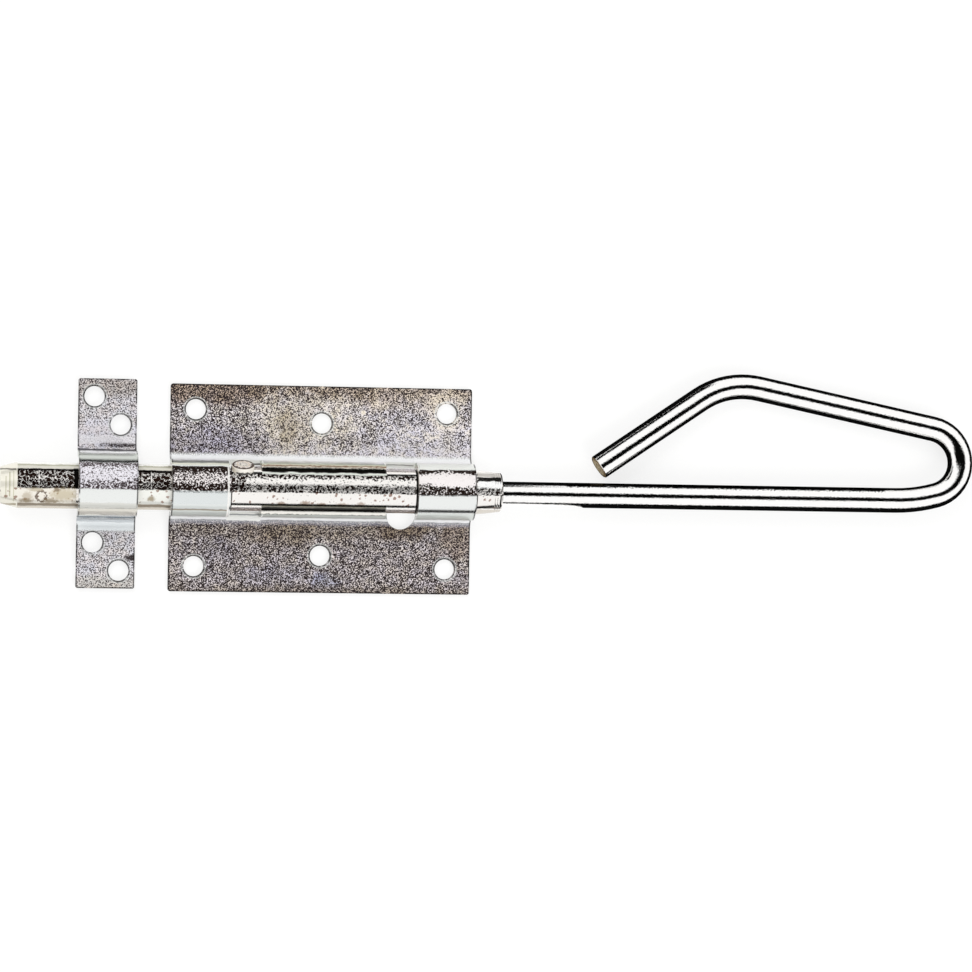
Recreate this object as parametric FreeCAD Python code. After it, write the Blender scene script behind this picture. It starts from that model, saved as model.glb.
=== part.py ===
import FreeCAD, Part
import math
import os
from FreeCAD import Vector

# Gate bolt with a turning loop handle, a pressed guide plate and a loose keeper strap.
# Millimetres. The origin is the centre of the plate's four corner screw holes on the
# mounting plane z = 0. +Z points away from the gate, X runs along the bolt with the tip
# towards -X, and the handle lies on the +Y side.

# Round bolt, turned from bar
bolt_diameter = 18.0
bolt_tip_x = -126.5
bolt_tip_chamfer_length = 6.7
bolt_tip_diameter = 14.6
bolt_tail_length = 10.5
bolt_tail_diameter = 15.4
bolt_tail_past_plate = 0.5
tail_ring_count = 3
tail_ring_pitch = 1.0
tail_ring_depth = 0.15
bolt_edge_break = 0.3
gate_clearance = 0.5
guide_clearance = 0.25

# Guide plate, one pressed sheet
plate_length = 120.0
plate_width = 82.0
plate_sheet = 2.0
plate_foot_radius = 4.5
plate_corner_radius = 1.0
corner_hole_to_edge = 10.0
middle_hole_to_edge = 14.75
screw_hole_diameter = 8.0
guide_length = 23.0
notch_length = 12.4
notch_floor = 4.5
wall_top_angle = 26.5
hold_open_hole_diameter = 11.5
hold_open_hole_offset = 9.6

# Keeper, a bent flat strap that stands loose round the bolt
keeper_gap_to_plate = 13.2
keeper_strap_width = 23.0
keeper_length = 82.5
keeper_sheet = 2.5
keeper_foot_radius = 4.0
keeper_hump_radius = 10.5
keeper_hump_height = 9.0
keeper_shift_y = 1.1
keeper_corner_radius = 0.8
keeper_hole_to_side = 6.3
keeper_outer_hole_to_end = 7.0
keeper_inner_hole_to_end = 18.0

# Handle, one bent round rod
rod_diameter = 10.0
rod_socket_depth = 24.0
rod_seat_offset = 0.6
rod_run_to_bend = 161.0
rod_lead_radius = 64.0
rod_lead_angle = 15.5
rod_end_radius = 13.9
rod_return_angle = 168.3
rod_return_run = 73.6
rod_apex_radius = 31.5
rod_leg_angle = 34.2
rod_leg_run = 50.2
rod_edge_break = 0.4
rest_gap = 0.3

# Locking stud, a flat-ended pin set in the bolt
stud_diameter = 9.0
stud_reach = 10.4
stud_ahead_of_handle = 30.0
stud_gap_to_guide = 0.6
stud_depth_past_axis = 1.0
stud_edge_break = 0.4
press_fit_clearance = 0.01

# Places worked out from the sizes above
bolt_radius = bolt_diameter / 2
rod_radius = rod_diameter / 2
stud_radius = stud_diameter / 2
axis_height = bolt_radius + gate_clearance
guide_inner_radius = bolt_radius + guide_clearance
guide_inner_end = plate_length / 2 - guide_length
wall_end = guide_inner_end - notch_length
stud_rest_x = -(guide_inner_end - stud_gap_to_guide - stud_radius)
hold_open_x = -stud_rest_x
bolt_tail_x = plate_length / 2 + bolt_tail_past_plate + bolt_tail_length
keeper_x = -(plate_length / 2 + keeper_gap_to_plate + keeper_strap_width / 2)
guide_reach = guide_inner_radius + plate_sheet
cut_margin = 1.0
axis_x = Vector(1, 0, 0)
axis_y = Vector(0, 1, 0)
axis_z = Vector(0, 0, 1)
bolt_axis_point = Vector(0, 0, axis_height)


def polar(center, radius, angle):
    """Point of the YZ plane at an angle in degrees from +Y towards +Z."""
    turn = math.radians(angle)
    return center + Vector(0, radius * math.cos(turn), radius * math.sin(turn))


def arc_edge(center, radius, start, end):
    middle = polar(center, radius, (start + end) / 2)
    return Part.Arc(polar(center, radius, start), middle, polar(center, radius, end)).toShape()


def line_edge(start, end):
    return Part.LineSegment(start, end).toShape()


def hat_strip(length, half_width, sheet, foot_radius, inner_radius, height):
    """Sheet bent into a round arch with smooth feet, centred on X and Y, back at z = 0."""
    outer_radius = inner_radius + sheet
    foot_height = sheet + foot_radius
    foot_y = math.sqrt((outer_radius + foot_radius) ** 2 - (height - foot_height) ** 2)
    join_angle = math.degrees(math.atan2(foot_height - height, foot_y))
    arch = Vector(0, 0, height)
    right_foot = Vector(0, foot_y, foot_height)
    left_foot = Vector(0, -foot_y, foot_height)

    def surface(arch_radius, bend_radius, level):
        right_flat = line_edge(Vector(0, half_width, level), Vector(0, foot_y, level))
        right_bend = arc_edge(right_foot, bend_radius, 270, 180 + join_angle)
        crown = arc_edge(arch, arch_radius, join_angle, 180 - join_angle)
        left_bend = arc_edge(left_foot, bend_radius, -join_angle, -90)
        left_flat = line_edge(Vector(0, -foot_y, level), Vector(0, -half_width, level))
        return [right_flat, right_bend, crown, left_bend, left_flat]

    top = surface(outer_radius, foot_radius, sheet)
    back = surface(inner_radius, foot_radius + sheet, 0)
    right_end = line_edge(Vector(0, half_width, 0), Vector(0, half_width, sheet))
    left_end = line_edge(Vector(0, -half_width, 0), Vector(0, -half_width, sheet))
    wire = Part.Wire(Part.__sortEdges__(top + back + [right_end, left_end]))
    strip = Part.Face(wire).extrude(Vector(length, 0, 0))
    strip.translate(Vector(-length / 2, 0, 0))
    return strip


def rounded_block(length, width, height, radius):
    """Block with rounded uprights, used to give a strip its outline seen from above."""
    corner = Vector(-length / 2, -width / 2, -cut_margin)
    block = Part.makeBox(length, width, height + 2 * cut_margin, corner)
    uprights = [e for e in block.Edges if abs(e.tangentAt(e.FirstParameter).z) > 0.99]
    return block.makeFillet(radius, uprights)


def upright_hole(diameter, x, y, height):
    bottom = Vector(x, y, -cut_margin)
    return Part.makeCylinder(diameter / 2, height + 2 * cut_margin, bottom, axis_z)


def slot_wedge(half_length):
    """Everything between the tops of the two walls, cut square to the sheet."""
    reach = (guide_reach + cut_margin) / math.sin(math.radians(wall_top_angle))
    corners = [
        bolt_axis_point,
        polar(bolt_axis_point, reach, wall_top_angle),
        polar(bolt_axis_point, reach, 180 - wall_top_angle),
    ]
    outline = [corner - axis_x * half_length for corner in corners]
    return Part.Face(Part.makePolygon(outline + outline[:1])).extrude(axis_x * 2 * half_length)


def notch_cutter(side):
    """Opens the arch down to the notch floor, from a wall's end to the guide beside it."""
    reach = guide_reach + cut_margin
    start = wall_end if side > 0 else -guide_inner_end
    return Part.makeBox(notch_length, 2 * reach, axis_height + reach, Vector(start, -reach, notch_floor))


def make_back_plate():
    plate = hat_strip(plate_length, plate_width / 2, plate_sheet, plate_foot_radius,
                      guide_inner_radius, axis_height)
    plate = plate.common(rounded_block(plate_length, plate_width, axis_height + guide_reach, plate_corner_radius))
    cutters = [slot_wedge(guide_inner_end), notch_cutter(-1), notch_cutter(1)]
    cutters.append(upright_hole(hold_open_hole_diameter, hold_open_x, -hold_open_hole_offset,
                                plate_sheet + plate_foot_radius))
    corner_x = plate_length / 2 - corner_hole_to_edge
    corner_y = plate_width / 2 - corner_hole_to_edge
    middle_y = plate_width / 2 - middle_hole_to_edge
    for side in (-1, 1):
        cutters.append(upright_hole(screw_hole_diameter, -corner_x, side * corner_y, plate_sheet))
        cutters.append(upright_hole(screw_hole_diameter, 0, side * middle_y, plate_sheet))
        cutters.append(upright_hole(screw_hole_diameter, corner_x, side * corner_y, plate_sheet))
    return plate.cut(cutters)


def make_keeper():
    strap = hat_strip(keeper_strap_width, keeper_length / 2, keeper_sheet, keeper_foot_radius,
                      keeper_hump_radius, keeper_hump_height)
    hump_top = keeper_hump_height + keeper_hump_radius + keeper_sheet
    strap = strap.common(rounded_block(keeper_strap_width, keeper_length, hump_top, keeper_corner_radius))
    column = keeper_strap_width / 2 - keeper_hole_to_side
    outer_y = keeper_length / 2 - keeper_outer_hole_to_end
    inner_y = keeper_length / 2 - keeper_inner_hole_to_end
    places = [(-column, outer_y), (column, inner_y), (-column, -inner_y), (column, -outer_y)]
    strap = strap.cut([upright_hole(screw_hole_diameter, x, y, keeper_sheet) for x, y in places])
    strap.translate(Vector(keeper_x, keeper_shift_y, 0))
    return strap


def handle_path():
    """Centreline of the rod in the XY plane, from its seat, set away from the loop, to the free end."""
    point = Vector(bolt_tail_x - rod_socket_depth, -rod_seat_offset, 0)
    heading = 0.0
    edges = []

    def run(length):
        nonlocal point
        turn = math.radians(heading)
        end = point + Vector(length * math.cos(turn), length * math.sin(turn), 0)
        edges.append(Part.LineSegment(point, end).toShape())
        point = end

    def bend(radius, new_heading):
        nonlocal point, heading
        old = math.radians(heading)
        center = point + Vector(-radius * math.sin(old), radius * math.cos(old), 0)
        ends = []
        for angle in ((heading + new_heading) / 2, new_heading):
            turn = math.radians(angle)
            ends.append(center + Vector(radius * math.sin(turn), -radius * math.cos(turn), 0))
        edges.append(Part.Arc(point, ends[0], ends[1]).toShape())
        point = ends[1]
        heading = new_heading

    run(rod_socket_depth + rod_run_to_bend)
    bend(rod_lead_radius, rod_lead_angle)
    bend(rod_end_radius, rod_return_angle)
    run(rod_return_run)
    bend(rod_apex_radius, 180 + rod_leg_angle)
    run(rod_leg_run)
    return Part.Wire(edges)


handle_wire = handle_path()
handle_droop = math.degrees(math.asin((axis_height - rod_radius - rest_gap) / handle_wire.BoundBox.YMax))
stud_angle = stud_ahead_of_handle - handle_droop


def make_handle_rod():
    start = handle_wire.Edges[0].valueAt(handle_wire.Edges[0].FirstParameter)
    section = Part.Wire(Part.makeCircle(rod_radius, start, axis_x))
    rod = handle_wire.makePipeShell([section], True, False)
    end_rims = [e for e in rod.Edges if e.isClosed() and is_end_rim(e)]
    rod = rod.makeChamfer(rod_edge_break, end_rims)
    rod.rotate(Vector(0, 0, 0), axis_x, -handle_droop)
    rod.translate(bolt_axis_point)
    return rod


def is_end_rim(edge):
    """True for the round edges at the two ends of the handle's centreline."""
    center = edge.BoundBox.Center
    ends = [handle_wire.Vertexes[0].Point, handle_wire.Vertexes[-1].Point]
    return min(center.distanceToPoint(p) for p in ends) < rod_edge_break


def stud_cylinder(radius, inner_end, outer_end):
    direction = polar(Vector(0, 0, 0), 1, stud_angle)
    foot = Vector(stud_rest_x, 0, axis_height) + direction * inner_end
    return Part.makeCylinder(radius, outer_end - inner_end, foot, direction)


def tail_radius_at(distance):
    """Radius of the taper at a distance before the bolt's rear face."""
    tail_radius = bolt_tail_diameter / 2
    return tail_radius + (bolt_radius - tail_radius) * distance / bolt_tail_length


def tail_rings():
    """Shallow turned rings on the taper, next to the rear face."""
    points = []
    for ring in range(tail_ring_count, 0, -1):
        middle = ring * tail_ring_pitch
        for distance, depth in ((middle + tail_ring_pitch / 4, 0), (middle, tail_ring_depth),
                                (middle - tail_ring_pitch / 4, 0)):
            points.append(Vector(bolt_tail_x - distance, 0, tail_radius_at(distance) - depth))
    return points


def make_bolt():
    outline = [
        Vector(bolt_tip_x, 0, 0),
        Vector(bolt_tip_x, 0, bolt_tip_diameter / 2 - bolt_edge_break),
        Vector(bolt_tip_x + bolt_edge_break, 0, bolt_tip_diameter / 2),
        Vector(bolt_tip_x + bolt_tip_chamfer_length, 0, bolt_radius),
        Vector(bolt_tail_x - bolt_tail_length, 0, bolt_radius),
        *tail_rings(),
        Vector(bolt_tail_x - bolt_edge_break, 0, tail_radius_at(bolt_edge_break)),
        Vector(bolt_tail_x, 0, tail_radius_at(0) - bolt_edge_break),
        Vector(bolt_tail_x, 0, 0),
    ]
    bar = Part.Face(Part.makePolygon(outline + outline[:1])).revolve(Vector(0, 0, 0), axis_x, 360)
    bar.translate(bolt_axis_point)
    socket_start = polar(bolt_axis_point, rod_seat_offset, 180 - handle_droop)
    socket_start.x = bolt_tail_x - rod_socket_depth - press_fit_clearance
    socket = Part.makeCylinder(rod_radius + press_fit_clearance, rod_socket_depth + cut_margin,
                               socket_start, axis_x)
    stud_seat = stud_cylinder(stud_radius + press_fit_clearance,
                              -stud_depth_past_axis - press_fit_clearance, bolt_diameter)
    return bar.cut([socket, stud_seat])


def make_lock_stud():
    stud = stud_cylinder(stud_radius, -stud_depth_past_axis, stud_reach)
    direction = polar(Vector(0, 0, 0), 1, stud_angle)
    face_center = Vector(stud_rest_x, 0, axis_height) + direction * stud_reach
    rims = [e for e in stud.Edges if e.isClosed() and e.BoundBox.Center.distanceToPoint(face_center) < 0.01]
    return stud.makeChamfer(stud_edge_break, rims)


def main():
    os.makedirs("parts", exist_ok=True)
    pieces = {
        "back_plate": make_back_plate(),
        "keeper": make_keeper(),
        "bolt": make_bolt(),
        "handle_rod": make_handle_rod(),
        "lock_stud": make_lock_stud(),
    }
    for name, shape in pieces.items():
        solid = shape.Solids[0]
        print(name, "solids", len(shape.Solids), "valid", solid.isValid(), "volume", round(solid.Volume, 1))
        solid.exportStep("parts/" + name + ".step")
    print("handle droop", round(handle_droop, 2), "stud angle", round(stud_angle, 2))
    print("rod volume by length", round(handle_wire.Length * math.pi * rod_radius ** 2, 1))


main()
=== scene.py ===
import math

import bpy
from mathutils import Matrix, Vector


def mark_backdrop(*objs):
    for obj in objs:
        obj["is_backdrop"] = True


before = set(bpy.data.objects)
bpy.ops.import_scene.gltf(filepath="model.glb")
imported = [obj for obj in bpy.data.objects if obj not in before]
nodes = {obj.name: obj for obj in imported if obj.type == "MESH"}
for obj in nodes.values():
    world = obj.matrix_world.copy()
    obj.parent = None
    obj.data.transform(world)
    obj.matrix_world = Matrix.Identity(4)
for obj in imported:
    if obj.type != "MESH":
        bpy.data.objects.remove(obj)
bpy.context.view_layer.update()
scene = bpy.context.scene
scene.view_settings.view_transform = "Standard"


def mm(value):
    return value / 1000.0


def hexColour(code):
    parts = [int(code[i:i + 2], 16) / 255 for i in (1, 3, 5)]
    return tuple(p / 12.92 if p <= 0.04045 else ((p + 0.055) / 1.055) ** 2.4 for p in parts) + (1.0,)


# Adds one node: its settings, its sockets (a value, or another node's output) and a ramp's stops
def addNode(tree, kind, sockets=None, stops=None, **settings):
    node = tree.nodes.new(kind)
    for name, value in settings.items():
        setattr(node, name, value)
    for socket, value in (sockets or {}).items():
        if isinstance(value, bpy.types.NodeSocket):
            tree.links.new(value, node.inputs[socket])
        else:
            node.inputs[socket].default_value = value
    if stops:
        elements = node.color_ramp.elements
        elements.remove(elements[-1])
        elements[0].position = stops[0][0]
        elements[0].color = stops[0][1]
        for place, colour in stops[1:]:
            elements.new(place).color = colour
    return node


def newMaterial(name):
    material = bpy.data.materials.new(name)
    material.use_nodes = True
    material.node_tree.nodes.clear()
    return material, material.node_tree


# Camera, fitted to the photograph's own perspective
camera = {
    "distanceMm": 1500.0,
    "aimMm": (66.52, 2.53, 0.0),
    "tiltDeg": 8.46,     # the camera stands off towards the bolt's tip
    "rollDeg": 0.935,    # the handle hangs a little lower in the picture
    "mmPerPixel": 0.39977,
    "imagePixels": 972,
    "sensorMm": 36.0,
    "clipMm": 20000.0,
}


def addCamera():
    tilt = Matrix.Rotation(-math.radians(camera["tiltDeg"]), 4, "Y")
    roll = Matrix.Rotation(math.radians(camera["rollDeg"]), 4, "Z")
    turn = tilt @ roll
    away = turn @ Vector((0, 0, mm(camera["distanceMm"])))
    data = bpy.data.cameras.new("studioCamera")
    data.sensor_width = camera["sensorMm"]
    data.lens = camera["sensorMm"] * camera["distanceMm"] / (camera["mmPerPixel"] * camera["imagePixels"])
    data.clip_end = mm(camera["clipMm"])
    body = bpy.data.objects.new("studioCamera", data)
    aim = Vector([mm(v) for v in camera["aimMm"]])
    body.matrix_world = Matrix.Translation(aim + away) @ turn
    scene.collection.objects.link(body)
    scene.camera = body


addCamera()
print("camera placed")


# Studio: pale floor, white surround, two soft lamps and black cards that shape the reflections
studio = {
    "floorMm": 6000.0,
    "floorDropMm": 0.06,
    "floorColour": "#f2f2f0",
    "surroundDiffuse": 0.55,  # the surround's light on matte faces
    "surroundWhite": 1.0,     # the surround as the camera and reflections see it
    "surroundColour": "#ffffff",
    "shadowShare": 0.3,       # how much of the floor's own shading shows, the rest is plain white
    "floorWhite": 1.1,
    "lampPower": 10.0,
    "lampSizeMm": 900.0,
    "lampPlacesMm": ((-500.0, 900.0, 1100.0), (700.0, -800.0, 1000.0)),
    "cardShade": 0.003,
}

# Black cards, which only reflections see: corner points in millimetres
cards = {
    "overheadCard": ((-520, 240, 600), (-520, -190, 600), (720, -100, 600), (720, 235, 600)),
    "nearCard": ((-500, -160, 0), (700, -160, 0), (700, -160, 46), (-500, -160, 46)),
    "farCard": ((-500, 250, 0), (125, 250, 0), (125, 250, 100), (-500, 250, 100)),
    "handleFloorFarCard": ((72, 0, -0.03), (700, 0, -0.03), (700, 200, -0.03), (72, 200, -0.03)),
    "handleFloorNearCard": ((106, -160, -0.03), (700, -160, -0.03), (700, 0, -0.03), (106, 0, -0.03)),
}


def addQuad(name, corners, material):
    mesh = bpy.data.meshes.new(name)
    mesh.from_pydata([tuple(mm(v) for v in corner) for corner in corners], [], [(0, 1, 2, 3)])
    mesh.materials.append(material)
    quad = bpy.data.objects.new(name, mesh)
    scene.collection.objects.link(quad)
    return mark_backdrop(quad) or quad


# 1 for the rays that show the studio itself, 0 for the ones that light the part
def isSeenRay(tree):
    rays = addNode(tree, "ShaderNodeLightPath").outputs
    seen = addNode(tree, "ShaderNodeMath", {0: rays["Is Camera Ray"], 1: rays["Is Glossy Ray"]},
                   operation="MAXIMUM").outputs[0]
    return addNode(tree, "ShaderNodeMath", {0: seen, 1: rays["Is Transmission Ray"]},
                   operation="MAXIMUM").outputs[0]


def addFloor():
    material, tree = newMaterial("matteStudioPaper")
    paper = addNode(tree, "ShaderNodeBsdfDiffuse", {"Color": hexColour(studio["floorColour"])}).outputs[0]
    white = addNode(tree, "ShaderNodeEmission", {"Strength": studio["floorWhite"]}).outputs[0]
    share = addNode(tree, "ShaderNodeMath", {0: isSeenRay(tree), 1: 1 - studio["shadowShare"]},
                    operation="MULTIPLY").outputs[0]
    mixed = addNode(tree, "ShaderNodeMixShader", {0: share, 1: paper, 2: white}).outputs[0]
    addNode(tree, "ShaderNodeOutputMaterial", {"Surface": mixed})
    material.cycles.emission_sampling = "NONE"
    half = studio["floorMm"] / 2
    z = -studio["floorDropMm"]
    addQuad("studioFloor", ((-half, -half, z), (half, -half, z), (half, half, z), (-half, half, z)), material)


def addSurround():
    world = bpy.data.worlds.new("whiteSurround")
    world.use_nodes = True
    world.cycles.sampling_method = "NONE"
    tree = world.node_tree
    tree.nodes.clear()
    strength = addNode(tree, "ShaderNodeMapRange", {0: isSeenRay(tree), 3: studio["surroundDiffuse"],
                                                    4: studio["surroundWhite"]}).outputs[0]
    light = addNode(tree, "ShaderNodeBackground", {"Color": hexColour(studio["surroundColour"]),
                                                   "Strength": strength}).outputs[0]
    addNode(tree, "ShaderNodeOutputWorld", {"Surface": light})
    scene.world = world


def addLamps():
    for number, place in enumerate(studio["lampPlacesMm"]):
        data = bpy.data.lights.new("softLamp%d" % number, "AREA")
        data.size = mm(studio["lampSizeMm"])
        data.energy = studio["lampPower"]
        lamp = bpy.data.objects.new(data.name, data)
        lamp.location = [mm(v) for v in place]
        lamp.rotation_euler = (-lamp.location).to_track_quat("-Z", "Y").to_euler()
        lamp.visible_glossy = False
        scene.collection.objects.link(lamp)


def addCards():
    material, tree = newMaterial("blackVelvetCard")
    shade = studio["cardShade"]
    velvet = addNode(tree, "ShaderNodeBsdfDiffuse", {"Color": (shade, shade, shade, 1.0)})
    addNode(tree, "ShaderNodeOutputMaterial", {"Surface": velvet.outputs[0]})
    for name, corners in cards.items():
        card = addQuad(name, corners, material)
        card.visible_camera = False
        card.visible_diffuse = False
        card.visible_shadow = False
        card.visible_transmission = False


addFloor()
addSurround()
addLamps()
addCards()
print("studio built")


def objectMillimetres(tree):
    place = addNode(tree, "ShaderNodeTexCoord").outputs["Object"]
    return addNode(tree, "ShaderNodeVectorMath", {0: place, "Scale": 1000.0}, operation="SCALE").outputs[0]


# Numbers that every look's noises, patches and strips share
pattern = {
    "noiseRoughness": 0.6,
    "noiseMiddle": 0.5,
    "ragDetail": 3.0,           # finer detail, for borders that have to look ragged
    "patchRag": 1.6,            # how far the noise pulls a patch's border in and out
    "patchFade": (2.2, 1.3),    # from outside a patch to inside it
    "stripSoftMm": 0.2,
}


# Noise as coarse as the picture shows it, in millimetres
def grainNoise(tree, place, sizeMm, detail=2.0):
    return addNode(tree, "ShaderNodeTexNoise", {"Vector": place, "Scale": 1 / sizeMm, "Detail": detail,
                                                "Roughness": pattern["noiseRoughness"]}).outputs["Fac"]


# Mask that is 1 between two values, with soft ends
def between(tree, value, low, high, soft):
    up = addNode(tree, "ShaderNodeMapRange", {0: value, 1: low - soft, 2: low + soft},
                 interpolation_type="SMOOTHSTEP").outputs[0]
    down = addNode(tree, "ShaderNodeMapRange", {0: value, 1: high + soft, 2: high - soft},
                   interpolation_type="SMOOTHSTEP").outputs[0]
    return addNode(tree, "ShaderNodeMath", {0: up, 1: down}, operation="MULTIPLY").outputs[0]


# Mask of an oval patch with a ragged edge, seen along Z
def raggedPatch(tree, place, rag, patch):
    x, y = patch["centreMm"]
    halfX, halfY = patch["halfMm"]
    outside, inside = pattern["patchFade"]
    off = addNode(tree, "ShaderNodeVectorMath", {0: place, 1: (x, y, 0.0)}, operation="SUBTRACT").outputs[0]
    off = addNode(tree, "ShaderNodeVectorMath", {0: off, 1: (1 / halfX, 1 / halfY, 0.0)},
                  operation="MULTIPLY").outputs[0]
    reach = addNode(tree, "ShaderNodeVectorMath", {0: off}, operation="LENGTH").outputs["Value"]
    reach = addNode(tree, "ShaderNodeMath", {0: rag, 1: pattern["patchRag"], 2: reach},
                    operation="MULTIPLY_ADD").outputs[0]
    return addNode(tree, "ShaderNodeMapRange", {0: reach, 1: outside, 2: inside},
                   interpolation_type="SMOOTHSTEP").outputs[0]


# Lays a colour over another where the mask is
def layColour(tree, under, mask, code, share=1.0):
    part = addNode(tree, "ShaderNodeMath", {0: mask, 1: share}, operation="MULTIPLY").outputs[0]
    return addNode(tree, "ShaderNodeMix", {0: part, 6: under, 7: hexColour(code)},
                   data_type="RGBA").outputs[2]


# Lays a list of ragged patches over a colour. One with a lift also moves the speckle's level, and so how
# much of it is dark
def layPatches(tree, colour, level, place, rag, patches, ring):
    for patch in patches:
        mask = raggedPatch(tree, place, rag, patch)
        if patch.get("hollow"):
            mask = between(tree, mask, *ring)
        if "colour" in patch:
            colour = layColour(tree, colour, mask, patch["colour"], patch.get("share", 1.0))
        if "lift" in patch:
            level = addNode(tree, "ShaderNodeMath", {0: mask, 1: patch["lift"], 2: level},
                            operation="MULTIPLY_ADD").outputs[0]
    return colour, level


# Mask of a strip: a stretch across Y and, when it is given, along X
def stripMask(tree, along, across, strip):
    soft = strip.get("softMm", pattern["stripSoftMm"])
    mask = between(tree, across, *strip["acrossMm"], soft)
    if "alongMm" not in strip:
        return mask
    length = between(tree, along, *strip["alongMm"], soft)
    return addNode(tree, "ShaderNodeMath", {0: mask, 1: length}, operation="MULTIPLY").outputs[0]


# Lays a list of strips over a colour: painted reflections, highlights and shadows, and some real marks. A
# chalky one also takes the metal's shine away
def layStrips(tree, colour, metallic, along, across, strips):
    for strip in strips:
        mask = stripMask(tree, along, across, strip)
        colour = layColour(tree, colour, mask, strip["colour"], strip.get("share", 1.0))
        if "chalk" in strip:
            dull = addNode(tree, "ShaderNodeMath", {0: mask, 1: -strip["chalk"], 2: metallic},
                           operation="MULTIPLY_ADD").outputs[0]
            metallic = addNode(tree, "ShaderNodeMath", {0: dull, 1: 0.0}, operation="MAXIMUM").outputs[0]
    return colour, metallic


# The least of some values
def least(tree, values):
    lowest = values[0]
    for value in values[1:]:
        lowest = addNode(tree, "ShaderNodeMath", {0: lowest, 1: value}, operation="MINIMUM").outputs[0]
    return lowest


# Distance in millimetres from the rim of the nearest hole, seen along Z
def rimDistance(tree, place, holes):
    gaps = []
    for x, y, radius in holes:
        off = addNode(tree, "ShaderNodeVectorMath", {0: place, 1: (x, y, 0.0)},
                      operation="SUBTRACT").outputs[0]
        off = addNode(tree, "ShaderNodeVectorMath", {0: off, 1: (1.0, 1.0, 0.0)},
                      operation="MULTIPLY").outputs[0]
        reach = addNode(tree, "ShaderNodeVectorMath", {0: off}, operation="LENGTH").outputs["Value"]
        gaps.append(addNode(tree, "ShaderNodeMath", {0: reach, 1: radius}, operation="SUBTRACT").outputs[0])
    return least(tree, gaps)


# Distance in millimetres from the nearest side of the sheet's outline
def outlineDistance(tree, along, across, outline):
    gaps = []
    for value, (low, high) in ((along, outline["alongMm"]), (across, outline["acrossMm"])):
        gaps.append(addNode(tree, "ShaderNodeMath", {0: value, 1: low}, operation="SUBTRACT").outputs[0])
        gaps.append(addNode(tree, "ShaderNodeMath", {0: high, 1: value}, operation="SUBTRACT").outputs[0])
    return least(tree, gaps)


# A painted highlight as a pale ring round each hole, then a broken painted shade line at the rims and along
# the outline
def layRimHighlightsAndEdgeShade(tree, colour, place, along, across, rag, look):
    rim = rimDistance(tree, place, look["holes"])
    pale = between(tree, rim, *look["rimHighlightMm"])
    colour = layColour(tree, colour, pale, look["smooth"], look["rimHighlightShare"])
    side = outlineDistance(tree, along, across, look["outline"])
    low, high = look["brokenRange"]
    broken = addNode(tree, "ShaderNodeMapRange", {0: rag, 1: low, 2: high}).outputs[0]
    for gap, width in ((rim, look["rimMm"]), (side, look["edgeLineMm"])):
        line = addNode(tree, "ShaderNodeMapRange", {0: gap, 1: width, 2: width / 2}).outputs[0]
        line = addNode(tree, "ShaderNodeMath", {0: line, 1: broken}, operation="MULTIPLY").outputs[0]
        colour = layColour(tree, colour, line, look["edgeShade"], look["edgeLineShare"])
    return colour


# How far a face leans from the arch's own radius: 0 on the sheet's cut edge, 1 on its outside
def radialShare(tree, place, axisMm):
    spoke = addNode(tree, "ShaderNodeVectorMath", {0: place, 1: (0.0, 0.0, axisMm)},
                    operation="SUBTRACT").outputs[0]
    spoke = addNode(tree, "ShaderNodeVectorMath", {0: spoke, 1: (0.0, 1.0, 1.0)},
                    operation="MULTIPLY").outputs[0]
    spoke = addNode(tree, "ShaderNodeVectorMath", {0: spoke}, operation="NORMALIZE").outputs[0]
    face = addNode(tree, "ShaderNodeNewGeometry").outputs["True Normal"]
    lean = addNode(tree, "ShaderNodeVectorMath", {0: spoke, 1: face},
                   operation="DOT_PRODUCT").outputs["Value"]
    return addNode(tree, "ShaderNodeMath", {0: lean}, operation="ABSOLUTE").outputs[0]


# The cut faces of the slot, coloured from the inside of the sheet to its outside: rusty on the far side of
# the arch, and on the near side pale, a painted highlight, with a dark line
def layCutFaces(tree, colour, place, across, height, look):
    lean = radialShare(tree, place, look["axisMm"])
    low, high = look["cutLean"]
    cut = addNode(tree, "ShaderNodeMapRange", {0: lean, 1: high, 2: low}).outputs[0]
    low, high = look["cutAboveMm"]
    above = addNode(tree, "ShaderNodeMapRange", {0: height, 1: low, 2: high}).outputs[0]
    cut = addNode(tree, "ShaderNodeMath", {0: cut, 1: above}, operation="MULTIPLY").outputs[0]
    vein = addNode(tree, "ShaderNodeTexNoise", {"Vector": place, "Scale": look["veinsPerMm"],
                                                "Detail": pattern["ragDetail"]}).outputs["Fac"]
    depth = addNode(tree, "ShaderNodeMath", {0: across}, operation="ABSOLUTE").outputs[0]
    depth = addNode(tree, "ShaderNodeMath", {0: vein, 1: look["veinReachMm"], 2: depth},
                    operation="MULTIPLY_ADD").outputs[0]
    low, high = look["cutSpanMm"]
    depth = addNode(tree, "ShaderNodeMapRange", {0: depth, 1: low, 2: high}).outputs[0]
    rusty = addNode(tree, "ShaderNodeValToRGB", {0: depth}, look["cutFarStops"]).outputs["Color"]
    clean = addNode(tree, "ShaderNodeValToRGB", {0: depth}, look["cutNearStops"]).outputs["Color"]
    low, high = look["farSideMm"]
    farSide = addNode(tree, "ShaderNodeMapRange", {0: across, 1: low, 2: high}).outputs[0]
    tone = addNode(tree, "ShaderNodeMix", {0: farSide, 6: clean, 7: rusty}, data_type="RGBA").outputs[2]
    return addNode(tree, "ShaderNodeMix", {0: cut, 6: colour, 7: tone}, data_type="RGBA").outputs[2]


def finishMetal(tree, material, colour, roughness, normal, metallic):
    metal = addNode(tree, "ShaderNodeBsdfPrincipled", {"Base Color": colour, "Metallic": metallic,
                                                       "Roughness": roughness, "Normal": normal})
    addNode(tree, "ShaderNodeOutputMaterial", {"Surface": metal.outputs[0]})
    return material
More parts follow.
